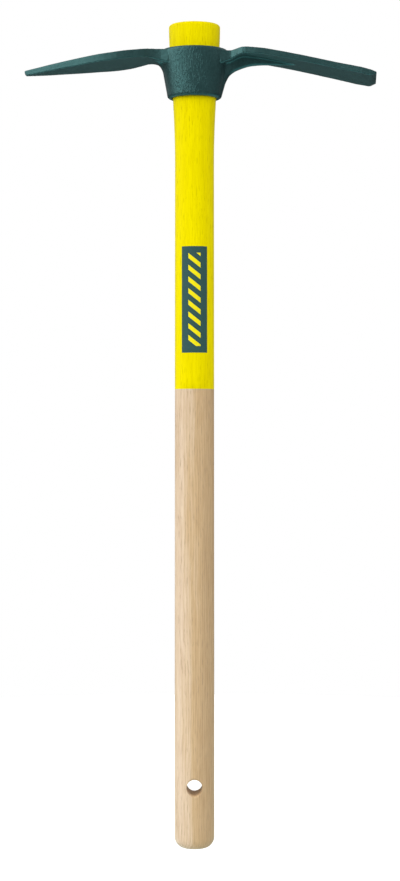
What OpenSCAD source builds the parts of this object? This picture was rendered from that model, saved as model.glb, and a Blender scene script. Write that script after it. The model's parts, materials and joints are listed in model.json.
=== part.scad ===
// Pick mattock: a forged head with a pointed leaf blade and a flat blade, on an oval wooden handle.
// The head slides up the handle from the butt and jams on the swelled top end.
// Origin: centre of the butt's end face. +Z runs up the handle, +X towards the flat blade,
// and -Y is the side that carries the label. Millimetres.

/* [Handle] */
// Overall length of the handle
handle_len = 950; // [780:10:1150]
// Width of the oval grip, along the blades
grip_w = 44.8; // [36:0.2:54]
// Thickness of the oval grip, across the blades
grip_t = 33; // [27:0.5:40]
// How much wider the butt end is than the grip
butt_swell = 0.9; // [0:0.1:4]
// How much wider the handle is at the lower rim of the eye than at the grip
neck_swell = 5; // [3:0.2:8]
// How much the handle widens between the lower and the upper rim of the eye
seat_swell = 7.4; // [4:0.2:10]
// Length of the flare between the grip and the eye
flare_len = 76; // [50:2:110]
// Rounding of the butt's edge
butt_r = 13; // [4:0.5:15]
// Rounding of the top end's edge
top_r = 3.5; // [1:0.5:6]
// Diameter of the hanging hole
hang_d = 18; // [10:0.5:22]
// Height of the hanging hole's centre above the butt
hang_z = 72; // [50:2:120]
// Depth of the chamfer around the hanging hole
hang_chamfer = 2; // [1:0.2:3]

/* [Eye] */
// Height of the collar that surrounds the eye
collar_h = 55.6; // [45:0.2:70]
// Length of handle that stands above the collar
stub_h = 29.6; // [20:0.2:45]
// Collar wall at the two ends of the oval
wall_x = 6; // [5:0.2:10]
// Collar wall on the two flat sides of the oval
wall_y = 7.4; // [5:0.2:10]
// How much further out the collar's ends stand at the upper rim
collar_flare = 2.2; // [0:0.2:4]
// Rounding of the collar's lower rim
rim_r = 4; // [1:0.5:5]
// Clearance between the handle and the upper rim of the eye
seat_gap = 0.2; // [0.1:0.05:0.4]
// Further clearance at the lower rim of the eye
eye_slack = 0.7; // [0:0.1:1.5]

/* [Pointed blade] */
// Reach of the point from the handle's axis
leaf_reach = 196; // [150:2:260]
// Greatest width of the leaf
leaf_w = 61.5; // [50:1:80]
// Distance of the greatest width from the handle's axis
leaf_wide_at = 80; // [70:1:100]
// Width of the blunt tip
leaf_tip_w = 5; // [3:0.5:12]
// Thickness at the neck
leaf_t = 9.6; // [7:0.2:13]
// Thickness at the tip
leaf_tip_t = 4.8; // [3:0.2:7]
// How far the tip hangs below the neck
leaf_drop = 20; // [8:1:32]
// Radius of the fillet under the neck
leaf_fillet = 9; // [5:0.5:12]

/* [Flat blade] */
// Reach of the middle of the cutting edge from the handle's axis
flat_reach = 210; // [170:1:270]
// Width of the blade at its spread end
flat_w = 64; // [52:0.5:80]
// Width of the blade at its shoulder
flat_root_w = 52; // [42:1:62]
// How much wider the straight part of the blade gets before its end spreads
flat_widening = 5; // [0:0.5:8]
// Length over which the end spreads
spread_len = 45; // [25:1:60]
// Thickness of the blade
flat_t = 6.8; // [5:0.2:10]
// Thickness left at the cutting edge
edge_t = 1.2; // [0.6:0.2:2.5]
// Length of the ground bevel under the cutting edge
edge_bevel = 8.5; // [4:0.5:14]
// How far the upper face is rounded down to the cutting edge
edge_ease = 0.8; // [0:0.1:1.5]
// Slant of the cutting edge, seen from above
edge_slant = 5.2; // [0:0.2:8]
// Size of the cut corners at the two ends of the edge
corner_cut = 3.3; // [1:0.1:6]
// How far the cutting edge hangs below the shoulder
flat_drop = 31; // [14:1:42]
// Radius of the web under the shoulder
web_r = 30; // [20:1:34]
// Half width of the web where it leaves the collar
web_half_w = 15; // [8:1:17]

/* [Label] */
// Width of the label across the handle
label_w = 28.8; // [18:0.5:32]
// Height of the label along the handle
label_h = 122; // [60:2:160]
// Height of the label's centre above the butt
label_z = 632; // [400:2:680]
// Thickness of the label's film
label_film = 0.3; // [0.2:0.1:0.6]

/* [Hidden] */
$fn = 96;
STEPS = 12;              // points along each free curve
BIG = 400;               // larger than the head in every direction

// Handle
oval = grip_t / grip_w;                      // every section of the handle has this ratio
eye_top = handle_len - stub_h;
eye_bottom = eye_top - collar_h;
grip_r = grip_w / 2;
butt_half = grip_r + butt_swell / 2;
neck_half = grip_r + neck_swell / 2;
seat_half = neck_half + seat_swell / 2;
seat_slope = (seat_half - neck_half) / collar_h;
stub_half = seat_half + seat_slope * stub_h / 2;
grip_top = eye_bottom - flare_len;
butt_end_z = grip_top / 5;                   // the butt end's width is kept up to here

// Eye and collar
eye_low = neck_half + seat_gap + eye_slack;  // half width of the eye at its lower rim
eye_high = seat_half + seat_gap;             // and at its upper rim
eye_slope = (eye_high - eye_low) / collar_h;
collar_low = eye_low + wall_x;
collar_high = collar_low + collar_flare + (eye_high - eye_low);
collar_oval = (eye_high * oval + wall_y) / collar_high;

// Blades: u is the distance from the handle's axis
neck_u = collar_high + 6;                    // narrowest place between the collar and the leaf
flat_neck_u = collar_high + 2;               // and between the collar and the flat blade
neck_half_w = leaf_w * 0.27;                 // half width there
neck_z = eye_top - 7.2;                      // middle of each neck's height
leaf_curl = 0.37;                            // share of the drop that comes from the curve
flat_curl = 0.2;
shoulder_u = flat_neck_u + 19;                   // top of the flat blade's shoulder
shoulder_z = eye_top - 3.2;                  // middle of the plate there
inner_u = eye_high + wall_x / 2;             // blades start inside the collar's wall

function lerp(a, b, t) = a + (b - a) * t;
// Quadratic curve through p and r, pulled towards q
function bend(p, q, r, n = STEPS) =
    [for (i = [0 : n]) let (t = i / n) (1 - t) * (1 - t) * p + 2 * t * (1 - t) * q + t * t * r];
// Arc around c from angle a to angle b
function arc(c, r, a, b, n = STEPS) =
    [for (i = [0 : n]) let (w = lerp(a, b, i / n)) c + r * [cos(w), sin(w)]];
function backwards(list) = [for (i = [len(list) - 1 : -1 : 0]) list[i]];
// Height of a drooping blade's middle at the share t of its length
function droop(top, drop, curl, t) = top - drop * ((1 - curl) * t + curl * t * t);

// Half width of the straight grip at the height z
function grip_half(z) = lerp(butt_half, grip_r, (z - butt_end_z) / (grip_top - butt_end_z));

// Outline of the handle, half width against height
function handle_outline() = concat(
    [[0, 0]],
    arc([butt_half - butt_r, butt_r], butt_r, -90, 0),
    [[butt_half, butt_end_z]],
    [for (i = [0 : STEPS]) let (t = i / STEPS)
        [grip_r + neck_swell / 2 * t * t, grip_top + flare_len * t]],
    [for (i = [0 : STEPS]) let (u = (stub_h - top_r) * i / STEPS)
        [seat_half + seat_slope * (u - u * u / (2 * stub_h)), eye_top + u]],
    arc([stub_half - top_r, handle_len - top_r], top_r, 10, 90, 6),
    [[0, handle_len]]);

// Solid with an oval section everywhere: four quarter turns of the outline, each one flattened
module oval_solid(outline, ratio) {
    for (quarter = [0 : 3])
        scale([1, ratio, 1])
            rotate([0, 0, 90 * quarter])
                rotate_extrude(angle = 90)
                    polygon(outline);
}

// Hole along Y through the handle, with a chamfer at each face
module hang_hole() {
    half_t = butt_half * oval;
    flare_h = hang_chamfer + 1;
    translate([0, 0, hang_z])
        rotate([90, 0, 0]) {
            cylinder(d = hang_d, h = 2 * half_t + 2, center = true);
            for (side = [0, 1])
                mirror([0, 0, side])
                    translate([0, 0, half_t - hang_chamfer])
                        cylinder(d1 = hang_d, d2 = hang_d + 2 * flare_h, h = flare_h);
        }
}

module handle() {
    color("burlywood")
        difference() {
            oval_solid(handle_outline(), oval);
            hang_hole();
        }
}

// Solid that has the given side outline (u, height) and the given plan outline (u, half width)
module blade(side, plan) {
    intersection() {
        rotate([90, 0, 0])
            linear_extrude(height = BIG, center = true)
                polygon(side);
        linear_extrude(height = 2 * handle_len)
            polygon(concat(plan, [for (p = backwards(plan)) [p[0], -p[1]]]));
    }
}

function leaf_share(i) = i / STEPS;
leaf_side = concat(
    [[inner_u, eye_top - 2]],
    [for (i = [0 : STEPS]) let (t = leaf_share(i))
        [lerp(neck_u, leaf_reach, t),
         droop(neck_z, leaf_drop, leaf_curl, t) + lerp(leaf_t, leaf_tip_t, t) / 2]],
    [for (i = [STEPS : -1 : 0]) let (t = leaf_share(i))
        [lerp(neck_u, leaf_reach, t),
         droop(neck_z, leaf_drop, leaf_curl, t) - lerp(leaf_t, leaf_tip_t, t) / 2]],
    [[inner_u, neck_z - leaf_t / 2]]);
leaf_plan = concat(
    [[inner_u, neck_half_w + 3]],
    bend([neck_u, neck_half_w], [lerp(neck_u, leaf_wide_at, 0.35), neck_half_w],
         [lerp(neck_u, leaf_wide_at, 0.55), lerp(neck_half_w, leaf_w / 2, 0.6)], 6),
    bend([lerp(neck_u, leaf_wide_at, 0.6), lerp(neck_half_w, leaf_w / 2, 0.7)],
         [lerp(neck_u, leaf_wide_at, 0.75), leaf_w / 2], [leaf_wide_at, leaf_w / 2], 6),
    bend([leaf_wide_at + 1, leaf_w / 2], [lerp(leaf_wide_at, leaf_reach, 0.33), leaf_w / 2],
         [leaf_reach, leaf_tip_w / 2]));
// Root of the pointed blade: the collar's end, thickened upwards, with a fillet into the blade
root_z = neck_z - leaf_t / 2;
leaf_root_side = concat(
    [[inner_u, eye_bottom + rim_r], [collar_low - 0.2, eye_bottom + rim_r]],
    backwards(arc([neck_u + leaf_fillet - 4, root_z - leaf_fillet], leaf_fillet, 90, 180)),
    [[neck_u + leaf_fillet, root_z], [neck_u + leaf_fillet, neck_z],
     [inner_u, eye_top - 2]]);
leaf_root_plan = [[inner_u, neck_half_w + 3], [neck_u, neck_half_w],
                  [neck_u + leaf_fillet, neck_half_w - 1]];

module leaf_arm() {
    mirror([1, 0, 0]) {
        blade(leaf_side, leaf_plan);
        blade(leaf_root_side, leaf_root_plan);
    }
}

function flat_mid(u) =
    droop(shoulder_z, flat_drop, flat_curl, (u - shoulder_u) / (flat_reach - shoulder_u));
flat_past = 12;                              // the plate is made this much too long, then cut
flat_end_u = flat_reach + flat_past;
flat_side = concat(
    [[inner_u, eye_top - 2], [flat_neck_u, eye_top - 3]],
    [for (i = [0 : STEPS]) let (u = lerp(shoulder_u, flat_end_u, i / STEPS))
        [u, flat_mid(u) + flat_t / 2]],
    [for (i = [STEPS : -1 : 0]) let (u = lerp(shoulder_u, flat_end_u, i / STEPS))
        [u, flat_mid(u) - flat_t / 2]],
    [[flat_neck_u, root_z - 1], [inner_u, root_z - 1]]);
spread_u = flat_reach - spread_len;
spread_half_w = (flat_root_w + flat_widening) / 2;
flat_plan = concat(
    [[inner_u, neck_half_w + 3], [flat_neck_u, neck_half_w]],
    bend([lerp(flat_neck_u, shoulder_u, 0.3), flat_root_w * 0.38], [shoulder_u, flat_root_w / 2],
         [shoulder_u + 16, flat_root_w / 2], 6),
    bend([spread_u, spread_half_w], [spread_u + spread_len / 2, spread_half_w + 1],
         [flat_reach - 2 * corner_cut, flat_w / 2], 6),
    [[flat_end_u, flat_w / 2]]);

// What is left of the plate at its end: v runs back from the slanted edge
edge_top = flat_t / 2 - edge_ease;
edge_rise = flat_mid(flat_reach - edge_bevel) - flat_mid(flat_reach);
edge_side = [[0, edge_top], [-edge_bevel, edge_rise + flat_t / 2], [-edge_bevel, BIG],
             [-BIG, BIG], [-BIG, -BIG], [-edge_bevel, -BIG],
             [-edge_bevel, edge_rise - flat_t / 2], [0, edge_top - edge_t]];
edge_half_w = flat_w / 2 - corner_cut;
edge_plan = [[-BIG, -BIG], [-4 * corner_cut, -BIG], [-2 * corner_cut, -flat_w / 2],
             [0, -edge_half_w], [0, edge_half_w], [-2 * corner_cut, flat_w / 2],
             [-4 * corner_cut, BIG], [-BIG, BIG]];
module edge_room() {
    translate([flat_reach, 0, flat_mid(flat_reach)])
        rotate([0, 0, -edge_slant])
            intersection() {
                rotate([90, 0, 0])
                    linear_extrude(height = BIG, center = true)
                        polygon(edge_side);
                translate([0, 0, -BIG / 2])
                    linear_extrude(height = BIG)
                        polygon(edge_plan);
            }
}

// Web under the shoulder: a quarter circle from the collar's end to the plate, then fading out
web_end_u = shoulder_u + 44;
web_top_u = collar_low + web_r;
web_low_z = flat_mid(web_top_u) - flat_t / 2 - 10;
web_side = concat(
    [[inner_u, eye_bottom + rim_r], [collar_low - 0.2, eye_bottom + rim_r]],
    backwards(arc([web_top_u, web_low_z - web_r], web_r, 90, 180)),
    [[web_end_u, flat_mid(web_end_u) - flat_t / 2], [web_end_u, flat_mid(web_end_u)],
     [shoulder_u, shoulder_z], [inner_u, neck_z]]);
web_plan = [[inner_u, web_half_w + 2], [flat_neck_u, web_half_w], [web_top_u, web_half_w * 0.6],
            [web_end_u, 2]];

module flat_arm() {
    intersection() {
        blade(flat_side, flat_plan);
        edge_room();
    }
    blade(web_side, web_plan);
}

module collar() {
    translate([0, 0, eye_bottom])
        oval_solid(concat(
            [[0, 0]],
            arc([collar_low - rim_r, rim_r], rim_r, -90, 0, 8),
            [[collar_high, collar_h - 2], [collar_high - 2, collar_h], [0, collar_h]]),
            collar_oval);
}

// The eye: a tapered oval, a little wider at the top, cut clear through both rims
module eye() {
    past = 2;
    translate([0, 0, eye_bottom])
        oval_solid([[0, -past], [eye_low - past * eye_slope, -past],
                    [eye_high + past * eye_slope, collar_h + past], [0, collar_h + past]], oval);
}

module head() {
    color("darkslategray")
        difference() {
            union() {
                collar();
                leaf_arm();
                flat_arm();
            }
            eye();
        }
}

// Film that follows the handle's round front
module label_panel() {
    label_low = label_z - label_h / 2;
    label_high = label_z + label_h / 2;
    film = label_film / oval;
    color("teal")
        intersection() {
            oval_solid([[grip_half(label_low), label_low],
                        [grip_half(label_low) + film, label_low],
                        [grip_half(label_high) + film, label_high],
                        [grip_half(label_high), label_high]], oval);
            translate([-label_w / 2, -grip_w, label_low - 1])
                cube([label_w, grip_w, label_h + 2]);
        }
}

handle();
head();
label_panel();
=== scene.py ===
# %% [markdown]
# # A pick mattock with a forged head and a dipped ash handle
# The real tool has three parts that the eye can tell apart. A forged steel head with a narrow leaf on
# one side and a wide blade on the other slides down the handle until it jams on the swelling at the
# top. The handle is turned ash, oval in section, bare below and dipped in yellow lacquer above. A dark
# printed film is pressed onto the lacquer under the head. This lesson loads the engineering model as a
# fixed frame, and makes a finer visible piece for each of its three nodes, in metres.

# %% Load the frame
import json
import math

import bpy
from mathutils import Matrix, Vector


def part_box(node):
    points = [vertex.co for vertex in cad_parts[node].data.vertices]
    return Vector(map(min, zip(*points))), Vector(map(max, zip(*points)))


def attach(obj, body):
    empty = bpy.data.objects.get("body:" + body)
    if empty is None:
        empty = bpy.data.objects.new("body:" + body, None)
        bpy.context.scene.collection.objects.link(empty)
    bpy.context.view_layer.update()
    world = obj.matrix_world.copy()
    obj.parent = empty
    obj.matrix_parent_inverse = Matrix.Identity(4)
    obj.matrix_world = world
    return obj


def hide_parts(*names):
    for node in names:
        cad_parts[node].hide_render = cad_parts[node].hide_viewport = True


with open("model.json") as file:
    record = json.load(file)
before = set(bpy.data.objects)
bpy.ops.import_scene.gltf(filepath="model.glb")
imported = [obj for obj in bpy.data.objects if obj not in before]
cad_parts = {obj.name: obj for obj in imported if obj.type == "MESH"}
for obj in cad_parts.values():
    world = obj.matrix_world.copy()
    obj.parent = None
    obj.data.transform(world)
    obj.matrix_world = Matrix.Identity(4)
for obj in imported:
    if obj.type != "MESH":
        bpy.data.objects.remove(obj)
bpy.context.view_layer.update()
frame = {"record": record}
MM = 0.001
head_low, head_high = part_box("head")
wood_low, wood_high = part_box("handle")
label_low, label_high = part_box("label_panel")

# %% [markdown]
# ## The camera and the room
# A long tool is best seen from far away through a long lens, so that its ends aren't drawn wider than
# its middle. The camera stands 1.9 m away, level, at the middle of the tool's height. The view is taller
# than it is wide, so the lens is fitted to the sensor's height.

# %% Camera
CAMERA_AWAY = 1.9
CAMERA_ASIDE = 6.35 * MM
CAMERA_SHARE = 0.49505  # of the tool's height
tool_height = wood_high.z - wood_low.z
camera_data = bpy.data.cameras.new("studio_camera")
camera_data.sensor_fit = "VERTICAL"
camera_data.sensor_height = 36.0
camera_data.sensor_width = 36.0
camera_data.lens = 67.2
camera = bpy.data.objects.new("studio_camera", camera_data)
camera.location = (CAMERA_ASIDE, -CAMERA_AWAY, tool_height * CAMERA_SHARE)
camera.rotation_euler = (math.radians(90), 0, 0)
bpy.context.scene.collection.objects.link(camera)
bpy.context.scene.camera = camera
print("camera at", [round(v, 4) for v in camera.location])

# %% [markdown]
# Colours are easiest to pick as the hex codes of a paint chart, but light adds up in linear numbers, so
# one function turns the codes into linear colours. One more function adds a node: it takes the kind,
# the settings that are set once, the inputs, which are numbers or sockets to link, and, for a ramp, its
# stops. A third one starts a material and gives its principled shader the values that are the same all
# over.

# %% Helpers for colours and nodes
def linear(code):
    """The linear colour of an sRGB hex code."""
    parts = [int(code[i:i + 2], 16) / 255 for i in (0, 2, 4)]
    return tuple(c / 12.92 if c <= 0.04045 else ((c + 0.055) / 1.055) ** 2.4 for c in parts) + (1.0,)


def add_node(tree, kind, settings=None, inputs=None, stops=None):
    """One node of a material, with its settings, its inputs and a ramp's stops."""
    made = tree.nodes.new("ShaderNode" + kind)
    for name, value in (settings or {}).items():
        setattr(made, name, value)
    for name, value in (inputs or {}).items():
        if isinstance(value, bpy.types.NodeSocket):
            tree.links.new(value, made.inputs[name])
        else:
            made.inputs[name].default_value = value
    if stops:
        elements = made.color_ramp.elements
        while len(elements) < len(stops):
            elements.new(0.5)
        for element, (position, shade) in zip(elements, stops):
            element.position = position
            element.color = linear(shade) if isinstance(shade, str) else (shade, shade, shade, 1.0)
    return made


def start_material(name, values):
    """A material with one principled shader, and the values that are the same all over it."""
    material = bpy.data.materials.new(name)
    material.use_nodes = True
    shader = material.node_tree.nodes["Principled BSDF"]
    for socket, value in values.items():
        shader.inputs[socket].default_value = value
    return material, material.node_tree, shader


COLOUR_MIX = {"data_type": "RGBA"}
COLOUR_TIMES = {"data_type": "RGBA", "blend_type": "MULTIPLY"}
print("helpers ready")

# %% [markdown]
# The floor is a round sheet of pale matt paint that runs on past the view. It lies just below the
# place where the head comes off the handle, so that the head is still seen there. A white floor that is
# lit this brightly would glare in the dark paint under the arms. So the floor shows white to the camera
# and greyer to everything else, and what the gloss sees of it is a soft cool glow, as from a large dim
# room.

# %% The floor
FLOOR_R = 1.6
FLOOR_GAP = 0.005
FLOOR_SHINE = 0.45   # added for the camera, so that the floor is as white as the sky
MIRROR_GLOW = 0.8    # seen only in gloss
slide_travel = frame["record"]["behaviour"]["joints"][0]["range_m"][1]
floor_z = min(0.0, head_low.z - slide_travel) - FLOOR_GAP
bpy.ops.object.select_all(action="DESELECT")
bpy.ops.mesh.primitive_circle_add(vertices=96, radius=FLOOR_R, fill_type="NGON", location=(0, 0, floor_z))
floor = bpy.context.object
floor.name = "studio_floor"
floor_paint, tree, shader = start_material("matt_white_floor_paint",
                                           {"Roughness": 0.95, "Specular IOR Level": 0.1})
object_place = add_node(tree, "TexCoord")
cloud = add_node(tree, "TexNoise", inputs={"Vector": object_place.outputs["Object"], "Scale": 2.0})
tone = add_node(tree, "ValToRGB", inputs={"Fac": cloud.outputs["Fac"]},
                stops=[(0.3, "F4F4F2"), (0.7, "F8F8F6")])
rays = add_node(tree, "LightPath")
seen, mirrored = rays.outputs["Is Camera Ray"], rays.outputs["Is Glossy Ray"]
dimmed = add_node(tree, "Mix", COLOUR_MIX, {0: seen, 6: linear("D8DEDE"), 7: tone.outputs["Color"]})
glow = add_node(tree, "MapRange", inputs={"Value": seen, "To Min": 0.0, "To Max": FLOOR_SHINE})
glow_tone = add_node(tree, "Mix", COLOUR_MIX, {0: seen, 6: linear("3CD8DC"), 7: linear("FFFFFF")})
glow_all = add_node(tree, "Math", {"operation": "MULTIPLY_ADD"},
                    {0: mirrored, 1: MIRROR_GLOW, 2: glow.outputs["Result"]})
tree.links.new(dimmed.outputs[2], shader.inputs["Base Color"])
tree.links.new(glow_tone.outputs[2], shader.inputs["Emission Color"])
tree.links.new(glow_all.outputs["Value"], shader.inputs["Emission Strength"])
floor.data.materials.append(floor_paint)
print("floor at", round(floor_z, 3), "m")

# %% [markdown]
# The sky is even and white where the camera sees it. As a light it is much dimmer than it looks, so that
# the dark paint keeps its depth, and it is dimmest near the horizon, because that is what the undersides
# of the arms reflect. The Light Path node tells the two uses of the sky apart.

# %% The sky
sky = bpy.data.worlds.new("studio_sky")
sky.use_nodes = True
bpy.context.scene.world = sky
sky_tree = sky.node_tree
lamp_sky = sky_tree.nodes["Background"]
toward = add_node(sky_tree, "SeparateXYZ", inputs={0: add_node(sky_tree, "TexCoord").outputs["Generated"]})
above = add_node(sky_tree, "MapRange", inputs={"Value": toward.outputs["Z"], "From Min": -0.12,
                                               "From Max": 0.35, "To Min": 0.05, "To Max": 0.5})
sky_tree.links.new(above.outputs["Result"], lamp_sky.inputs["Strength"])
lamp_sky.inputs["Color"].default_value = linear("FFFFFF")
seen_sky = add_node(sky_tree, "Background", inputs={"Color": linear("FFFFFF"), "Strength": 1.0})
ray = add_node(sky_tree, "LightPath")
sky_mix = add_node(sky_tree, "MixShader", inputs={0: ray.outputs["Is Camera Ray"],
                                                  1: lamp_sky.outputs["Background"],
                                                  2: seen_sky.outputs["Background"]})
sky_tree.links.new(sky_mix.outputs["Shader"], sky_tree.nodes["World Output"].inputs["Surface"])
bpy.context.scene.view_settings.view_transform = "Standard"
print("sky:", sky.name)

# %% [markdown]
# The tool is lit from the left by one broad soft light, as from a large window. It draws the long bright
# band on the left of the collar. A sheen light that only gloss sees makes the middle of that band a
# little brighter. The bounce from a pale wall on the right is the other way round: it lightens the wood
# and the lacquer, but the enamel doesn't mirror it, so the right side of the collar stays dark. Two weak
# lights, from the far left and from the front, fill in what is left.

# %% Soft lights
def soft_sun(name, strength, spread, azimuth, elevation):
    """A broad soft light. Azimuth turns from the front towards the left, in degrees."""
    data = bpy.data.lights.new(name, "SUN")
    data.energy = strength
    data.angle = math.radians(spread)
    light = bpy.data.objects.new(name, data)
    light.rotation_euler = (math.radians(90 - elevation), 0, math.radians(-azimuth))
    bpy.context.scene.collection.objects.link(light)
    return light


soft_sun("window_light", 2.0, 62, 54, 22)
window_sheen = soft_sun("window_sheen", 0.32, 44, 54, 16)
window_sheen.visible_diffuse = False
soft_sun("side_light", 0.25, 60, 105, 10)
soft_sun("front_fill", 0.35, 110, -30, 0)
wall_bounce = soft_sun("wall_bounce", 1.1, 100, -46, 12)
wall_bounce.visible_glossy = False

# %% [markdown]
# ## The handle
# A handle like this is turned and sanded to an oval that follows one outline from end to end: a rounded
# butt, a long straight grip, a quick flare under the head, a slow taper that the head jams on, and a
# rounded top. It could be a subdivided cylinder that is scaled ring by ring, or a loft. Here one oval
# rim is drawn, and it is extruded and resized from each height of the outline to the next, as one would
# by hand. The rings are close together where the outline bends and where the hole is going to be.

# %% Rings
def alone(piece):
    """Leaves only this piece selected and active."""
    bpy.ops.object.select_all(action="DESELECT")
    piece.select_set(True)
    bpy.context.view_layer.objects.active = piece


def extrude_rings(name, rings, sides):
    """A closed piece drawn up the Z axis through oval rings of (height, half width, half depth), in mm."""
    bpy.ops.object.select_all(action="DESELECT")
    height, half, deep = rings[0]
    bpy.ops.mesh.primitive_circle_add(vertices=sides, radius=half * MM, fill_type="NGON")
    piece = bpy.context.object
    piece.name = piece.data.name = name
    bpy.ops.object.mode_set(mode="EDIT")
    bpy.ops.mesh.select_all(action="SELECT")
    bpy.ops.transform.translate(value=(0, 0, height * MM))
    bpy.ops.transform.resize(value=(1, deep / half, 1), center_override=(0, 0, height * MM))
    for level, wide, depth in rings[1:]:
        bpy.ops.mesh.extrude_region_move(TRANSFORM_OT_translate={"value": (0, 0, (level - height) * MM)})
        bpy.ops.transform.resize(value=(wide / half, depth / deep, 1), center_override=(0, 0, level * MM))
        height, half, deep = level, wide, depth
    bpy.ops.mesh.select_all(action="SELECT")
    bpy.ops.mesh.normals_make_consistent(inside=False)
    bpy.ops.object.mode_set(mode="OBJECT")
    return piece


def quarter_turns(count):
    """Angles that divide a quarter turn into this many steps, both ends included."""
    return [math.radians(90 * step / count) for step in range(count + 1)]


print("ring helpers ready")

# %% [markdown]
# The outline gives a half width for every height, in millimetres. The oval is 0.74 times as deep as it
# is wide. The grip swells by half a millimetre towards the butt, where a hand slides against it. Above
# the grip the outline opens in a curve, then runs straight through the head's seat, and the end above
# the head opens a little more and stops. That is why the head can't come off over the top.

# %% The handle's outline
BUTT_HALF = 22.85
BUTT_TOP = 157.8
GRIP_HALF = 22.4
GRIP_TOP = 788.8
FLARE = 2.5
NECK_HALF = 24.9
SEAT_HALF = 28.6
COLLAR_FOOT = head_low.z / MM
COLLAR_TOP = head_high.z / MM
TOP = wood_high.z / MM
STUB_HALF = wood_high.x / MM
OVAL = wood_high.y / wood_high.x


def handle_half(z):
    """The handle's half width at a height, in mm, without the round ends."""
    if z <= BUTT_TOP:
        return BUTT_HALF
    if z <= GRIP_TOP:
        return BUTT_HALF + (GRIP_HALF - BUTT_HALF) * (z - BUTT_TOP) / (GRIP_TOP - BUTT_TOP)
    if z <= COLLAR_FOOT:
        return GRIP_HALF + FLARE * ((z - GRIP_TOP) / (COLLAR_FOOT - GRIP_TOP)) ** 2
    if z <= COLLAR_TOP:
        return NECK_HALF + (SEAT_HALF - NECK_HALF) * (z - COLLAR_FOOT) / (COLLAR_TOP - COLLAR_FOOT)
    part_up = (z - COLLAR_TOP) / (TOP - COLLAR_TOP)
    return SEAT_HALF + (STUB_HALF - SEAT_HALF) * (2 * part_up - part_up * part_up)


print("half widths, mm:", [round(handle_half(z), 1) for z in (100, 500, 860, 900, 940)])

# %% [markdown]
# The rings follow from the outline. Both ends are rounded by a quarter circle of steps. The lacquer is a
# film with a thickness, so the outline steps out by a tenth of a millimetre at the dip line, where the
# dipping stopped. Near the hanging hole a ring every 2 mm gives the cut clean faces to meet.

# %% The handle
BUTT_ROUND = 13.0
TOP_ROUND = 3.5
DIP_LINE = 529.5
FILM = 0.1
outline = []
for turn in quarter_turns(12):
    outline.append((BUTT_ROUND * (1 - math.cos(turn)), BUTT_HALF - BUTT_ROUND * (1 - math.sin(turn))))
for z in [30, 45, 55] + list(range(57, 89, 2)) + [92, 100, 120, BUTT_TOP] + list(range(190, 520, 30)):
    outline.append((z, handle_half(z)))
outline.append((DIP_LINE - 0.3, handle_half(DIP_LINE)))
outline.append((DIP_LINE, handle_half(DIP_LINE)))
outline.append((DIP_LINE + 0.15, handle_half(DIP_LINE) + FILM))
for z in list(range(540, 780, 20)) + [GRIP_TOP, 798, 808, 818, 828, 838, 848, 856]:
    outline.append((z, handle_half(z) + FILM))
for z in [COLLAR_FOOT, 878, 892, 906, COLLAR_TOP, 927, 934, 941]:
    outline.append((z, handle_half(z)))
for turn in quarter_turns(6):
    z = TOP - TOP_ROUND * (1 - math.sin(turn))
    outline.append((z, handle_half(z) - TOP_ROUND * (1 - math.cos(turn))))
outline.append((TOP, 18.0))
outline.append((TOP, 9.0))
handle = extrude_rings("ash_handle", [(z, half, half * OVAL) for z, half in outline], 96)
print("handle:", len(handle.data.vertices), "vertices,", len(outline), "rings")

# %% [markdown]
# The hanging hole is drilled through the thin way, and its rims are eased with a rounding bit. The
# cutter for that is a spool, a rod whose ends open out. It is drawn with the same ring helper, turned
# to lie along Y, and cut away with a Boolean, which is applied at once so that the mesh is final.

# %% The hanging hole
HOLE_Z = 72.0
HOLE_R = 9.0
RIM_ROUND = 2.6
SPOOL_PAST = 4.0
HANDLE_SMOOTH = 28  # degrees


def cut_away(piece, cutter):
    """Cuts the cutter out of a piece, and removes the cutter."""
    alone(piece)
    bpy.ops.object.modifier_add(type="BOOLEAN")
    piece.modifiers[-1].operation = "DIFFERENCE"
    piece.modifiers[-1].solver = "EXACT"
    piece.modifiers[-1].object = cutter
    bpy.ops.object.modifier_apply(modifier=piece.modifiers[-1].name)
    bpy.data.objects.remove(cutter)


spool_end = handle_half(HOLE_Z) * OVAL - RIM_ROUND - 0.2
spool = []
for turn in quarter_turns(7):
    spool.append((spool_end + RIM_ROUND * math.sin(turn), HOLE_R + RIM_ROUND * (1 - math.cos(turn))))
spool.append((spool_end + RIM_ROUND + SPOOL_PAST, HOLE_R + RIM_ROUND))
spool = [(-y, half) for y, half in reversed(spool)] + spool
drill = extrude_rings("hole_cutter", [(y, half, half) for y, half in spool], 72)
alone(drill)
drill.rotation_euler = (math.radians(90), 0, 0)
drill.location = (0, 0, HOLE_Z * MM)
bpy.ops.object.transform_apply(location=True, rotation=True, scale=False)
cut_away(handle, drill)
bpy.ops.object.shade_smooth_by_angle(angle=math.radians(HANDLE_SMOOTH))
print("handle with its hole:", len(handle.data.vertices), "vertices")

# %% [markdown]
# ## The head
# The head is forged from one bar: the eye is punched and opened, the two arms are drawn out, and the
# blade is spread and ground. Forging leaves no sharp inner corners, because hot steel flows round them.
# One cage under a Subdivision Surface could give that, but its edges would go soft. Here each part is
# drawn on its own, the collar ring by ring and the arms section by section, and then they are fused.
# The collar is an oval cup that widens upwards. Its foot is rounded, and its mouth is eased a little.

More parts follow.
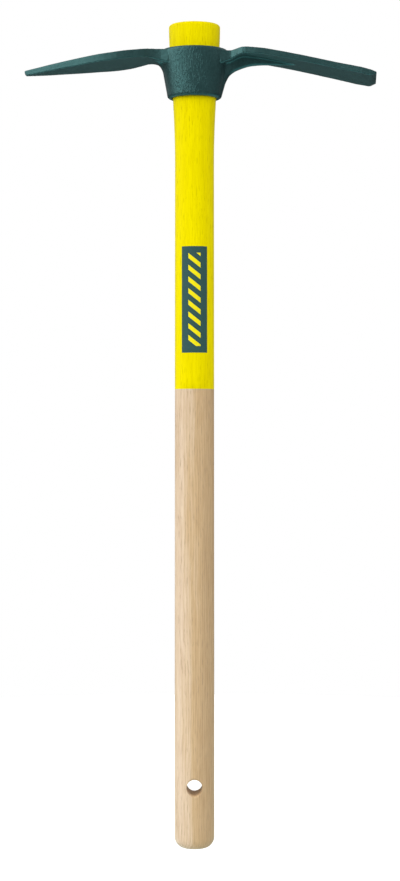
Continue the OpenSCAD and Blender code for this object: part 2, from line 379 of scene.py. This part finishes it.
# %% The collar
FOOT_HALF = 31.6
FOOT_ROUND = 4.0
FOOT_RIM, MOUTH_RIM = 870, 918     # below the one and above the other, a ring belongs to a rim
MOUTH_HALF = 39.0
DEEP_LOW, DEEP_HIGH = 24.6, 28.4   # half depths at the foot and at the mouth
DEEP_FROM, DEEP_OVER = 868, 50
ROUND_SHARE = 0.35                 # the depth follows a rim's rounding by this much
collar_side = []
for turn in quarter_turns(6):
    collar_side.append((COLLAR_FOOT + FOOT_ROUND * (1 - math.cos(turn)),
                        FOOT_HALF - FOOT_ROUND * (1 - math.sin(turn))))
collar_side += [(872.5, 32.3), (880, 33.7), (888, 35.2), (896, 36.6), (904, 37.8), (912, 38.6),
                (917.5, MOUTH_HALF)]
collar_side += [(919.4, 38.4), (COLLAR_TOP, 37.2)]


def rim_inset(z, half):
    """How far a ring of the collar stands in from the side, near its two rims, in mm."""
    if z < FOOT_RIM:
        return FOOT_HALF - half
    if z > MOUTH_RIM:
        return MOUTH_HALF - half
    return 0.0


collar_rings = []
for z, half in collar_side:
    deep_here = DEEP_LOW + (DEEP_HIGH - DEEP_LOW) * (z - DEEP_FROM) / DEEP_OVER
    collar_rings.append((z, half, deep_here - ROUND_SHARE * rim_inset(z, half)))
collar = extrude_rings("forged_head", collar_rings, 96)
print("collar:", [round(v / MM, 1) for v in collar.dimensions])

# %% [markdown]
# Each arm is a bar with flat faces. It starts as a plane inside the collar's wall and is extruded from
# section to section, and each section is moved and resized to its own middle, thickness and width. The
# sections come from short tables of the arm's top line, thickness and half width, which are read with
# straight lines between their points.

# %% Bars drawn along X
def extrude_bar(name, sections):
    """A bar along X through sections of (x, top, bottom, half width), in mm."""
    bpy.ops.object.select_all(action="DESELECT")
    x, top, bottom, half = sections[0]
    bpy.ops.mesh.primitive_plane_add(size=1, rotation=(0, math.radians(90), 0))
    bar = bpy.context.object
    bar.name = bar.data.name = name
    bpy.ops.object.transform_apply(location=True, rotation=True, scale=True)
    bpy.ops.object.mode_set(mode="EDIT")
    bpy.ops.mesh.select_all(action="SELECT")
    bpy.ops.transform.resize(value=(1, 2 * half * MM, (top - bottom) * MM), center_override=(0, 0, 0))
    bpy.ops.transform.translate(value=(x * MM, 0, (top + bottom) / 2 * MM))
    for new_x, new_top, new_bottom, new_half in sections[1:]:
        middle = (new_top + new_bottom) / 2
        step = ((new_x - x) * MM, 0, (middle - (top + bottom) / 2) * MM)
        bpy.ops.mesh.extrude_region_move(TRANSFORM_OT_translate={"value": step})
        bpy.ops.transform.resize(value=(1, new_half / half, (new_top - new_bottom) / (top - bottom)),
                                 center_override=(new_x * MM, 0, middle * MM))
        x, top, bottom, half = new_x, new_top, new_bottom, new_half
    bpy.ops.mesh.select_all(action="SELECT")
    bpy.ops.mesh.normals_make_consistent(inside=False)
    bpy.ops.object.mode_set(mode="OBJECT")
    return bar


def between(table, x):
    """Straight-line reading of a table of (x, value)."""
    for (x0, v0), (x1, v1) in zip(table, table[1:]):
        if x <= x1:
            return v0 + (v1 - v0) * (x - x0) / (x1 - x0)
    return table[-1][1]


print("bar helper ready")

# %% [markdown]
# The leaf is the narrow arm. It leaves the collar through a neck, swells to its widest a third of the
# way out, and then thins and narrows towards a blunt tip, while its top line droops. The tables count
# their distances outwards from the handle's axis, and the leaf points to the left, so the sections get
# a minus sign. Under the leaf's neck sits a small web, which is a bar too, with its top hidden inside
# the leaf.

# %% The leaf
leaf_top = [(30, 918.8), (47, 919.3), (54, 918.5), (61, 917.2), (68, 915.9), (75, 914.8), (81, 914.0),
            (88, 913.0), (95, 912.1), (102, 911.3), (109, 910.6), (123, 908.6), (137, 906.6), (151, 904.4),
            (165, 902.1), (172, 900.9), (178, 899.9), (185, 898.7), (190, 897.9), (196, 896.8)]
leaf_thick = [(30, 15.0), (40, 13.0), (47, 11.0), (54, 9.4), (65, 9.0), (100, 8.8), (137, 8.4), (158, 7.6),
              (172, 7.1), (185, 6.3), (196, 5.6)]
leaf_half = [(30, 18.0), (39, 16.2), (45, 16.0), (51, 18.5), (57, 22.5), (63, 25.5), (69, 28.0), (74, 29.6),
             (80, 30.6), (88, 30.8), (95, 30.2), (102, 29.2), (109, 27.8), (116, 26.3), (123, 24.6),
             (130, 22.6), (138, 20.2), (151, 16.6), (167, 12.0), (180, 7.6), (190, 4.4), (196, 2.6)]
leaf_x = [30, 36, 39, 42, 45, 48, 51, 54, 57, 60, 63, 66, 69, 74, 80, 88, 95, 102, 109, 116, 123, 130, 138,
          151, 160, 167, 174, 180, 185, 190, 193.5]
leaf_tip = [(-195.2, 896.9, 892.2, 2.9), (-196, 896.7, 894.2, 2.6)]
leaf = extrude_bar("leaf", [(-x, between(leaf_top, x), between(leaf_top, x) - between(leaf_thick, x),
                             between(leaf_half, x)) for x in leaf_x] + leaf_tip)
leaf_web = extrude_bar("leaf_web", [(-x, 914, bottom, half) for x, bottom, half in
                                    [(28, 880, 12), (33, 889, 11.6), (36.7, 896.6, 11.2), (38.8, 901.3, 11),
                                     (42.5, 905.2, 11), (45, 906.8, 11), (48, 908.2, 11)]])
print("leaf and its web, mm:", [[round(v / MM, 1) for v in bar.dimensions] for bar in (leaf, leaf_web)])

# %% [markdown]
# The blade is the wide arm. It rises a little behind its neck and then keeps its thickness in a long
# curve downwards. Its end spreads, and the last 8 mm are ground, most of it from below, to an edge with
# cut corners.
# Under its shoulder a larger web carries the load down to the collar's foot.

# %% The blade
EDGE_X = 210.0
blade_top = [(30, 918.0), (38, 917.5), (42, 917.5), (46, 918.2), (50, 919.1), (54, 919.7), (59, 919.8),
             (64, 919.3), (71, 918.6), (79, 917.8), (86, 916.6), (94, 915.1), (101, 913.9), (108, 912.6),
             (115, 911.3), (127, 908.6), (139, 906.2), (147, 904.6), (154, 902.8), (168, 899.9), (178, 897.8),
             (196, 893.9), (202, 892.9), (EDGE_X, 891.2)]
blade_thick = [(30, 15), (38, 12.0), (42, 10.6), (46, 9.0), (50, 8.0), (56, 7.2), (64, 7.0), (202, 6.9)]
blade_half = [(30, 18), (38, 16.4), (42, 16.4), (46, 18.6), (50, 21.6), (54, 24.2), (58, 25.2), (64, 26.0),
              (71, 26.7), (79, 27.0), (139, 27.8), (166, 28.6), (178, 29.8), (190, 30.8), (202, 31.3)]
blade_x = [30, 36, 38, 40, 42, 44, 46, 48, 50, 52, 54, 56, 58, 61, 64, 70, 79, 90, 101, 120, 139, 152, 166,
           178, 190, 201.5]
blade_edge = [(203.6, 892.4, 886.2, 31.3), (EDGE_X, 890.2, 888.4, 28.4)]
blade = extrude_bar("blade", [(x, between(blade_top, x), between(blade_top, x) - between(blade_thick, x),
                               between(blade_half, x)) for x in blade_x] + blade_edge)
web = extrude_bar("blade_web", [(28, 914, 866.6, 13), (31.4, 914, 868.2, 12), (33.4, 914, 874.8, 11),
                                (35.8, 914, 883.2, 10), (39.3, 914, 890.2, 9), (42, 914, 893.2, 8.2),
                                (46.8, 914, 896.5, 7.4), (53.7, 914, 899.4, 6.6), (61, 914, 901.7, 6),
                                (66, 914, 902.7, 5.6), (78, 914, 903.6, 5), (92, 911, 903.6, 4.4),
                                (104, 909, 903.6, 3.6), (116, 906, 903.6, 3)])
print("blade and its web, mm:", [[round(v / MM, 1) for v in bar.dimensions] for bar in (blade, web)])

# %% [markdown]
# Two things are left that a plain bar can't have. A forged web is thick where it meets the arm and
# thinner at its lower rim, so its faces that look down are drawn in towards the middle. And the blade's
# edge isn't quite square to the blade, as forged ones seldom are, so the ground end is turned a few
# degrees about the middle of the edge. A new bar is selected all over, so one function clears its
# selection in Edit Mode and goes back to Object Mode, where single faces can be picked in code.

# %% Web rims and the slanted edge
RIM_SHARE = 0.55     # of the web's width, at its lower rim
LOOKS_DOWN = -0.02   # a face looks down if its normal's Z is less
END_FACE = 0.999     # a face is an end face if its normal's X is longer
GROUND_FROM = 201    # the ground end starts here, in mm
SLANT = 5.2          # degrees
EDGE_HIGH = 0.89     # metres


def clear_picks(piece):
    """Leaves none of a piece's faces, edges and points selected."""
    alone(piece)
    bpy.ops.object.mode_set(mode="EDIT")
    bpy.ops.mesh.select_all(action="DESELECT")
    bpy.ops.object.mode_set(mode="OBJECT")


for bar in (leaf_web, web):
    clear_picks(bar)
    for face in bar.data.polygons:
        face.select = face.normal.z < LOOKS_DOWN and abs(face.normal.x) < END_FACE
    bpy.ops.object.mode_set(mode="EDIT")
    bpy.ops.transform.resize(value=(1, RIM_SHARE, 1), center_override=(0, 0, 0))
    bpy.ops.object.mode_set(mode="OBJECT")
clear_picks(blade)
for vertex in blade.data.vertices:
    vertex.select = vertex.co.x > GROUND_FROM * MM
bpy.ops.object.mode_set(mode="EDIT")
bpy.ops.transform.rotate(value=math.radians(SLANT), orient_axis="Z",
                         center_override=(EDGE_X * MM, 0, EDGE_HIGH))
bpy.ops.object.mode_set(mode="OBJECT")
far_x = max(v.co.x for v in blade.data.vertices if v.co.y > 0)
near_x = max(v.co.x for v in blade.data.vertices if v.co.y < 0)
print("edge, far and near end, mm:", round(far_x / MM, 1), round(near_x / MM, 1))

# %% [markdown]
# The parts overlap, so a voxel remesh fuses them into one skin of small even faces. A Boolean union
# would keep every inner corner knife sharp, and this head has none. The voxels are half a millimetre,
# which keeps the flats flat and the edges crisp.

# %% Fusing the head
VOXEL = 0.5
alone(collar)
for part in (leaf, leaf_web, blade, web):
    part.select_set(True)
bpy.ops.object.join()
head = collar
bpy.ops.object.modifier_add(type="REMESH")
head.modifiers[-1].mode = "VOXEL"
head.modifiers[-1].voxel_size = VOXEL * MM
bpy.ops.object.modifier_apply(modifier=head.modifiers[-1].name)
print("head skin:", len(head.data.vertices), "vertices")

# %% [markdown]
# Smoothing the whole head by a hair rounds the outer edges, as paint and scale do. Where the arms leave
# the collar it is smoothed for much longer, which melts the inner corners into forged fillets. A weight
# says how much of the smoothing each place takes, and it fades out before the arms' outer edges, which
# stay crisp. A Decimate then thins out the flats.

# %% Forged fillets
MOST_TRIANGLES = 180000
WEB_ZONE = {-1: 56, 1: 110}   # how far out the fillets go, on the leaf's side and on the blade's
UNDER_TOP = 915               # the undersides lie below this height at the collar, in mm
DROOP = 0.21                  # and lie lower by this much for each mm beyond the next value
DROOP_FROM = 60


def ramp_up(value, start, end):
    """0 before start, 1 after end, and a straight line between."""
    return min(1.0, max(0.0, (value - start) / (end - start)))


def below_arms(place):
    """1 under the arms where they leave the collar, fading out towards the arms' tips and edges."""
    away = abs(place.x)
    end = WEB_ZONE[-1 if place.x < 0 else 1]
    arm_half = between(leaf_half if place.x < 0 else blade_half, max(30, away))
    under = UNDER_TOP - DROOP * max(0.0, away - DROOP_FROM)
    along = ramp_up(away, 24, 31) * (1 - ramp_up(away, end - 14, end))
    upright = ramp_up(place.z, 868, 874) * (1 - ramp_up(place.z, under - 9, under - 2))
    return along * upright * (1 - ramp_up(abs(place.y), arm_half - 9, arm_half - 1))


def at_necks(place):
    """1 around the two necks, without the collar's foot and mouth."""
    away = abs(place.x)
    upright = ramp_up(place.z, 868, 874) * (1 - ramp_up(place.z, 915, 918))
    return ramp_up(away, 28, 34) * (1 - ramp_up(away, 44, 52)) * upright


def soften(piece, passes, strength, weight=None):
    """Smooths a piece by its neighbours. The weight is a function of place in mm, from 0 to 1."""
    alone(piece)
    bpy.ops.object.modifier_add(type="SMOOTH")
    smooth = piece.modifiers[-1]
    smooth.iterations = passes
    smooth.factor = strength
    if weight:
        group = piece.vertex_groups.new(name="soft_zone")
        shares = {}
        for vertex in piece.data.vertices:
            share = round(weight(vertex.co / MM), 1)
            if share > 0:
                shares.setdefault(share, []).append(vertex.index)
        for share, members in shares.items():
            group.add(members, share, "REPLACE")
        smooth.vertex_group = group.name
    bpy.ops.object.modifier_apply(modifier=smooth.name)
    piece.vertex_groups.clear()


def triangle_count(piece):
    """How many triangles a piece's faces make."""
    return sum(len(face.vertices) - 2 for face in piece.data.polygons)


soften(head, 95, 0.6, below_arms)
soften(head, 32, 0.5, at_necks)
soften(head, 6, 0.5)
alone(head)
bpy.ops.object.modifier_add(type="DECIMATE")
head.modifiers[-1].ratio = min(1.0, MOST_TRIANGLES / triangle_count(head))
bpy.ops.object.modifier_apply(modifier=head.modifiers[-1].name)
print("head with fillets:", triangle_count(head), "triangles")

# %% [markdown]
# Last the eye is cut clean through. It is an oval that tapers like the handle's seat, and its half width
# is 0.9 mm larger at the foot and 0.2 mm at the mouth, which is where the head jams. Both ends of the
# cutter open out, which eases the rims of the eye.

# %% The eye
EYE_LOW = NECK_HALF + 0.9
EYE_HIGH = SEAT_HALF + 0.2
EYE_EASE = 0.7
EYE_PAST = 2
HEAD_SMOOTH = 38  # degrees
eye_slope = (EYE_HIGH - EYE_LOW) / (COLLAR_TOP - COLLAR_FOOT)
eye_line = [(COLLAR_FOOT, EYE_LOW), (COLLAR_TOP, EYE_HIGH)]
eye_side = [(COLLAR_FOOT - EYE_PAST, EYE_LOW + EYE_PAST + EYE_EASE),
            (COLLAR_FOOT + EYE_EASE, EYE_LOW + EYE_EASE * eye_slope),
            (COLLAR_TOP - EYE_EASE, EYE_HIGH - EYE_EASE * eye_slope),
            (COLLAR_TOP + EYE_PAST, EYE_HIGH + EYE_PAST + EYE_EASE)]
eye = extrude_rings("eye_cutter", [(z, half, half * OVAL + (half - between(eye_line, z)) * (1 - OVAL))
                                   for z, half in eye_side], 96)
cut_away(head, eye)
bpy.ops.object.shade_smooth_by_angle(angle=math.radians(HEAD_SMOOTH))
print("head:", triangle_count(head), "triangles")

# %% [markdown]
# ## The label
# The label is a printed film that lies on the lacquer and bends round it. It could be cut out of a copy
# of the handle's own faces, but then its edges would have to follow the handle's rings. Here a flat grid
# of the label's size is put in front of the handle, and a Shrinkwrap presses it back onto the lacquer.
# Solidify gives the film a thickness that the light catches at its edge.

# %% The label film
GRID_AWAY = 0.04          # metres in front of the handle's axis
LABEL_LIFT = 0.00002      # metres between lacquer and film
FILM_THICK = 0.00012      # metres
LABEL_SMOOTH = 35         # degrees
label_w = label_high.x - label_low.x
label_h = label_high.z - label_low.z
label_middle = (label_low.z + label_high.z) / 2
bpy.ops.object.select_all(action="DESELECT")
bpy.ops.mesh.primitive_grid_add(x_subdivisions=36, y_subdivisions=60, size=1)
label = bpy.context.object
label.name = label.data.name = "label_film"
label.scale = (label_w, label_h, 1)
label.rotation_euler = (math.radians(90), 0, 0)
label.location = (0, -GRID_AWAY, label_middle)
bpy.ops.object.transform_apply(location=True, rotation=True, scale=True)
bpy.ops.object.modifier_add(type="SHRINKWRAP")
wrap = label.modifiers[-1]
wrap.target = handle
wrap.wrap_method = "PROJECT"
wrap.use_project_y = True
wrap.use_negative_direction = True
wrap.use_positive_direction = True
wrap.offset = LABEL_LIFT
bpy.ops.object.modifier_apply(modifier=wrap.name)
bpy.ops.object.modifier_add(type="SOLIDIFY")
label.modifiers[-1].thickness = FILM_THICK
label.modifiers[-1].offset = 1
bpy.ops.object.modifier_apply(modifier=label.modifiers[-1].name)
bpy.ops.object.mode_set(mode="EDIT")
bpy.ops.mesh.select_all(action="SELECT")
bpy.ops.mesh.normals_make_consistent(inside=False)
bpy.ops.object.mode_set(mode="OBJECT")
bpy.ops.object.shade_smooth_by_angle(angle=math.radians(LABEL_SMOOTH))
print("label:", [round(v / MM, 2) for v in label.dimensions])

# %% [markdown]
# ## Ash, bare and lacquered
# Ash is a pale wood with straight fibres. Its growth rings are 2 to 3 mm apart, and each starts with a
# row of open pores that show as fine darker dashes along the grain. The handle is cut from a log, so
# the rings are drawn as they lie there, around a pith that is some centimetres beside the handle. They
# then come out as lines on the sides and as arcs on the butt, as in the real piece. Bare and lacquered
# wood are the same wood, so one function draws the grain for both finishes.
#
# A noise of scale S has spots about 1000 / S mm wide, since the coordinates are metres. Where Z is
# squeezed, the spots are longer along the handle by as much. The sizes are then:
#
# - the rings, a wave of scale 115, about 2.7 mm apart;
# - the drift of tone, 9 mm wide and 20 cm long;
# - the fibres, 1.6 mm wide and 35 mm long;
# - the pores, 1.1 mm wide and 11 mm long, drawn coarser than the real 0.3 mm, or they wouldn't show;
# - the sway, 22 mm wide and 14 cm long, which moves all of these up to 4.5 mm aside, since no tree
#   grows dead straight.

# %% Wood grain for both finishes
SWAY = 0.009                 # metres, from side to side
PITH = (0.052, 0.030, 0)     # metres; the middle of the log lies this far to the left and the front


def ash_grain(tree):
    """Sockets for the rings, the drift, the fibres and the pores of ash."""
    place = add_node(tree, "TexCoord").outputs["Object"]
    slow = add_node(tree, "Mapping", inputs={"Vector": place, "Scale": (1, 1, 0.16)})
    sway = add_node(tree, "TexNoise", inputs={"Vector": slow.outputs["Vector"], "Scale": 45.0, "Detail": 2.0})
    bent = add_node(tree, "VectorMath", {"operation": "MULTIPLY_ADD"},
                    {0: sway.outputs["Color"], 1: (SWAY, SWAY, 0), 2: place}).outputs["Vector"]
    log = add_node(tree, "Mapping", inputs={"Vector": bent, "Location": PITH, "Scale": (1, 1, 0.02)})
    rings = add_node(tree, "TexWave", {"wave_type": "RINGS", "rings_direction": "Z"},
                     {"Vector": log.outputs["Vector"], "Scale": 115.0, "Distortion": 2.0, "Detail": 2.0,
                      "Detail Scale": 0.6})
    along = add_node(tree, "Mapping", inputs={"Vector": bent, "Scale": (1, 1, 0.045)}).outputs["Vector"]
    drift = add_node(tree, "TexNoise", inputs={"Vector": along, "Scale": 110.0, "Detail": 3.0})
    fibre = add_node(tree, "TexNoise", inputs={"Vector": along, "Scale": 640.0, "Detail": 5.0,
                                               "Roughness": 0.7})
    short = add_node(tree, "Mapping", inputs={"Vector": bent, "Scale": (1, 1, 0.1)})
    dash = add_node(tree, "TexNoise", inputs={"Vector": short.outputs["Vector"], "Scale": 900.0,
                                              "Detail": 2.0})
    pore = add_node(tree, "ValToRGB", inputs={"Fac": dash.outputs["Fac"]}, stops=[(0.55, 0.0), (0.68, 1.0)])
    early = add_node(tree, "ValToRGB", inputs={"Fac": rings.outputs["Fac"]}, stops=[(0.35, 1.0), (0.75, 0.2)])
    pores = add_node(tree, "Math", {"operation": "MULTIPLY"},
                     {0: pore.outputs["Color"], 1: early.outputs["Color"]})
    return rings.outputs["Fac"], drift.outputs["Fac"], fibre.outputs["Fac"], pores.outputs["Value"]


print("grain ready")

# %% [markdown]
# The lower half of the handle is bare wood, sanded and not oiled. It scatters the light, so it has no
# shine to speak of. What the eye goes by is the colour: pale straw with darker pores, and a painted
# shade that makes it browner from the left side to the right, away from the window light. The pores
# and fibres are also a hair deep.

# %% Bare sanded ash
# Painted light and shade: the wood is drawn paler towards the left side, where the window light falls, and
# browner towards the right side, away from it.
PAINTED_LIGHT_SIDE, PAINTED_SHADE_SIDE = -0.018, 0.016   # metres beside the handle's axis
# Sanded ash: matt, so the light spreads and the grain shows as colour rather than as gloss.
bare_ash, tree, shader = start_material("sanded_ash",
                                        {"Roughness": 0.55, "IOR": 1.45, "Specular IOR Level": 0.35})
rings, drift, fibre, pores = ash_grain(tree)
across = add_node(tree, "SeparateXYZ", inputs={0: add_node(tree, "TexCoord").outputs["Object"]})
# Painted shade: the colour darkens from the left side to the right by the place across the handle, mixed with
# the random drift of tone.
sideways = add_node(tree, "MapRange", inputs={"Value": across.outputs["X"], "From Min": PAINTED_LIGHT_SIDE,
                                             "From Max": PAINTED_SHADE_SIDE})
shifted = add_node(tree, "Math", {"operation": "MULTIPLY_ADD"}, {0: drift, 1: 1.3, 2: -0.65})
painted_shade_and_drift = add_node(tree, "Math", {"operation": "ADD", "use_clamp": True},
                {0: sideways.outputs["Result"], 1: shifted.outputs["Value"]})
broad = add_node(tree, "ValToRGB", inputs={"Fac": painted_shade_and_drift.outputs["Value"]},
                 stops=[(0.0, "E4CDB2"), (0.35, "DFC6A5"), (0.6, "D6B88E"), (1.0, "CDAF87")])
bands = add_node(tree, "ValToRGB", inputs={"Fac": rings}, stops=[(0.0, "D6C4A8"), (0.6, "FFFFFF")])
banded = add_node(tree, "Mix", COLOUR_TIMES, {0: 0.22, 6: broad.outputs["Color"], 7: bands.outputs["Color"]})
lines = add_node(tree, "ValToRGB", inputs={"Fac": fibre}, stops=[(0.35, "D6C4AC"), (0.62, "FFFFFF")])
lined = add_node(tree, "Mix", COLOUR_TIMES, {0: 0.45, 6: banded.outputs[2], 7: lines.outputs["Color"]})
shown = add_node(tree, "Math", {"operation": "MULTIPLY"}, {0: pores, 1: 0.55})
pored = add_node(tree, "Mix", COLOUR_MIX,
                 {0: shown.outputs["Value"], 6: lined.outputs[2], 7: linear("A98C6E")})
tree.links.new(pored.outputs[2], shader.inputs["Base Color"])
relief = add_node(tree, "Math", {"operation": "SUBTRACT"}, {0: fibre, 1: pores})
bump = add_node(tree, "Bump", inputs={"Height": relief.outputs["Value"], "Distance": 0.0001,
                                      "Strength": 0.5})
tree.links.new(bump.outputs["Normal"], shader.inputs["Normal"])
print("bare wood:", bare_ash.name)

# %% [markdown]
# The upper half is dipped in yellow lacquer. The film is thin, so the fibres and pores show through as
# slightly deeper yellow, and it half fills them, so the relief is half as deep as in the bare wood. A
# pure yellow reflects hardly any blue, so the shine is tinted too, or a white sheen would wash the
# colour out. Each face takes its finish by whether its middle is above the dip line.

# %% Yellow lacquer over the grain
# Dip lacquer: a smooth, saturated film, low in shine, with the wood just readable under it.
yellow, tree, shader = start_material("yellow_dip_lacquer",
                                      {"Roughness": 0.42, "IOR": 1.5, "Specular IOR Level": 0.12,
                                       "Specular Tint": linear("FFE400")})
rings, drift, fibre, pores = ash_grain(tree)
broad = add_node(tree, "ValToRGB", inputs={"Fac": drift}, stops=[(0.3, "EEDD00"), (0.7, "F9E900")])
lines = add_node(tree, "ValToRGB", inputs={"Fac": fibre}, stops=[(0.35, "E6DCC0"), (0.60, "FFFFFF")])
lined = add_node(tree, "Mix", COLOUR_TIMES, {0: 0.4, 6: broad.outputs["Color"], 7: lines.outputs["Color"]})
shown = add_node(tree, "Math", {"operation": "MULTIPLY"}, {0: pores, 1: 0.45})
pored = add_node(tree, "Mix", COLOUR_MIX,
                 {0: shown.outputs["Value"], 6: lined.outputs[2], 7: linear("BCA800")})
tree.links.new(pored.outputs[2], shader.inputs["Base Color"])
relief = add_node(tree, "Math", {"operation": "SUBTRACT"}, {0: fibre, 1: pores})
bump = add_node(tree, "Bump", inputs={"Height": relief.outputs["Value"], "Distance": 0.00005,
                                      "Strength": 0.4})
tree.links.new(bump.outputs["Normal"], shader.inputs["Normal"])
handle.data.materials.append(bare_ash)
handle.data.materials.append(yellow)
for face in handle.data.polygons:
    face.material_index = 1 if face.center.z > DIP_LINE * MM else 0
print("handle finishes:", [m.name for m in handle.data.materials])

# %% [markdown]
# ## The head's paint
# The head is dipped in a dark petrol enamel, straight over the forging scale, and nobody ground the
# scale off first. The paint is satin, so it spreads a window into a broad band, and the scale breaks the
# band up into grains. On the collar the paint also dried in short runs. All three patterns are noise:
#
# - the scale, 2.3 mm, drawn coarser than real scale, or it wouldn't show from here;
# - the blotches, 14 mm, which vary the tone as the thickness of the paint does;
# - the runs, 1.7 mm wide and 4.8 mm long, which fade out from 12 to 34 mm beside the middle.

# %% Petrol enamel
RUNS_FULL, RUNS_GONE = 0.012, 0.034   # metres beside the middle of the collar
# Enamel on scaled steel: nearly black, with a cool satin shine that shows every grain of the scale.
enamel, tree, shader = start_material("petrol_enamel_on_forged_steel",
                                      {"Roughness": 0.36, "IOR": 1.5, "Specular IOR Level": 1.0,
                                       "Specular Tint": linear("98E6E4")})
place = add_node(tree, "TexCoord").outputs["Object"]
mill_scale = add_node(tree, "TexNoise", inputs={"Vector": place, "Scale": 430.0, "Detail": 4.0,
                                                "Roughness": 0.7})
blotch = add_node(tree, "TexNoise", inputs={"Vector": place, "Scale": 70.0, "Detail": 4.0})
tint = add_node(tree, "ValToRGB", inputs={"Fac": blotch.outputs["Fac"]},
                stops=[(0.35, "1D3031"), (0.65, "263A3B")])
grains = add_node(tree, "ValToRGB", inputs={"Fac": mill_scale.outputs["Fac"]},
                  stops=[(0.40, "9AA8A8"), (0.60, "FFFFFF")])
speck = add_node(tree, "Mix", COLOUR_TIMES, {0: 0.65, 6: tint.outputs["Color"], 7: grains.outputs["Color"]})
tree.links.new(speck.outputs[2], shader.inputs["Base Color"])
flow = add_node(tree, "Mapping", inputs={"Vector": place, "Scale": (1, 1, 0.35)})
marks = add_node(tree, "TexNoise", inputs={"Vector": flow.outputs["Vector"], "Scale": 600.0, "Detail": 3.0})
runs = add_node(tree, "ValToRGB", inputs={"Fac": marks.outputs["Fac"]}, stops=[(0.5, 0.0), (0.66, 1.0)])
centre = add_node(tree, "SeparateXYZ", inputs={0: place})
aside = add_node(tree, "Math", {"operation": "ABSOLUTE"}, {0: centre.outputs["X"]})
on_collar = add_node(tree, "MapRange", inputs={"Value": aside.outputs["Value"], "From Min": RUNS_FULL,
                                               "From Max": RUNS_GONE, "To Min": 1.0, "To Max": 0.0})
drips = add_node(tree, "Math", {"operation": "MULTIPLY"},
                 {0: runs.outputs["Color"], 1: on_collar.outputs["Result"]})
height = add_node(tree, "Math", {"operation": "ADD"},
                  {0: mill_scale.outputs["Fac"], 1: drips.outputs["Value"]})
bump = add_node(tree, "Bump", inputs={"Height": height.outputs["Value"], "Distance": 0.0004,
                                      "Strength": 0.75})
tree.links.new(bump.outputs["Normal"], shader.inputs["Normal"])
head.data.materials.append(enamel)
print("head's paint:", enamel.name)

# %% [markdown]
# ## The label's print
# Slanted yellow bars on dark green are a plain pattern that stands for print. They could be an image,
# but sums on the coordinates stay sharp at any distance. Height plus 0.8 times the way sideways gives
# the slant. A ping-pong turns that into a saw that climbs for 6.7 mm and falls for 6.7,
# and wherever it is over 3.8 mm there is ink, so a bar and its gap repeat every 13.4 mm. A frame of bare
# film is left around the bars. The film's own grain, about 1.1 mm, keeps the dark green from looking
# flat.

# %% Printed film
BAR_SLOPE = 0.8
BAR_CLIMB = 0.0067       # metres, half of the repeat
BAR_FROM = 0.0038        # metres up the saw
PRINT_HALF_W = 0.007     # metres from the middle of the label to the end of the bars
PRINT_HALF_H = 0.0535
# Vinyl film: dull and even, so it reads as a dark patch and not as more gloss on the lacquer.
film, tree, shader = start_material("printed_vinyl_film",
                                    {"Roughness": 0.6, "IOR": 1.5, "Specular IOR Level": 0.2})
place = add_node(tree, "TexCoord").outputs["Object"]
grain = add_node(tree, "TexNoise", inputs={"Vector": place, "Scale": 900.0, "Detail": 3.0})
ground = add_node(tree, "ValToRGB", inputs={"Fac": grain.outputs["Fac"]},
                  stops=[(0.3, "2C4F4C"), (0.7, "325653")])
split = add_node(tree, "SeparateXYZ", inputs={0: place})
slant = add_node(tree, "Math", {"operation": "MULTIPLY_ADD"},
                 {0: split.outputs["X"], 1: BAR_SLOPE, 2: split.outputs["Z"]})
saw = add_node(tree, "Math", {"operation": "PINGPONG"}, {0: slant.outputs["Value"], 1: BAR_CLIMB})
ink = add_node(tree, "Math", {"operation": "GREATER_THAN"}, {0: saw.outputs["Value"], 1: BAR_FROM})
sideways = add_node(tree, "Math", {"operation": "ABSOLUTE"}, {0: split.outputs["X"]})
in_width = add_node(tree, "Math", {"operation": "LESS_THAN"}, {0: sideways.outputs["Value"], 1: PRINT_HALF_W})
upwards = add_node(tree, "Math", {"operation": "SUBTRACT"}, {0: split.outputs["Z"], 1: label_middle})
off_middle = add_node(tree, "Math", {"operation": "ABSOLUTE"}, {0: upwards.outputs["Value"]})
in_height = add_node(tree, "Math", {"operation": "LESS_THAN"},
                     {0: off_middle.outputs["Value"], 1: PRINT_HALF_H})
window = add_node(tree, "Math", {"operation": "MULTIPLY"},
                  {0: in_width.outputs["Value"], 1: in_height.outputs["Value"]})
mask = add_node(tree, "Math", {"operation": "MULTIPLY"},
                {0: window.outputs["Value"], 1: ink.outputs["Value"]})
print_mix = add_node(tree, "Mix", COLOUR_MIX,
                     {0: mask.outputs["Value"], 6: ground.outputs["Color"], 7: linear("F4E400")})
tree.links.new(print_mix.outputs[2], shader.inputs["Base Color"])
bump = add_node(tree, "Bump", inputs={"Height": grain.outputs["Fac"], "Distance": 0.00003, "Strength": 0.3})
tree.links.new(bump.outputs["Normal"], shader.inputs["Normal"])
label.data.materials.clear()
label.data.materials.append(film)
print("label's print:", film.name)

# %% [markdown]
# ## What moves with what
# The tool has two moving bodies. The head slides down the handle and comes off over the butt, and the
# label is stuck to the handle, so it rides with it. Each visible piece also hides the engineering node
# that it stands in for.

# %% Bodies and nodes
for piece, body, node, slot in ((handle, "handle", "handle", "handle_wood"),
                                (head, "head", "head", "head_steel"),
                                (label, "handle", "label_panel", "label_film")):
    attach(piece, body)
    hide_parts(node)
    print(piece.name, "rides", body, "and replaces", node)
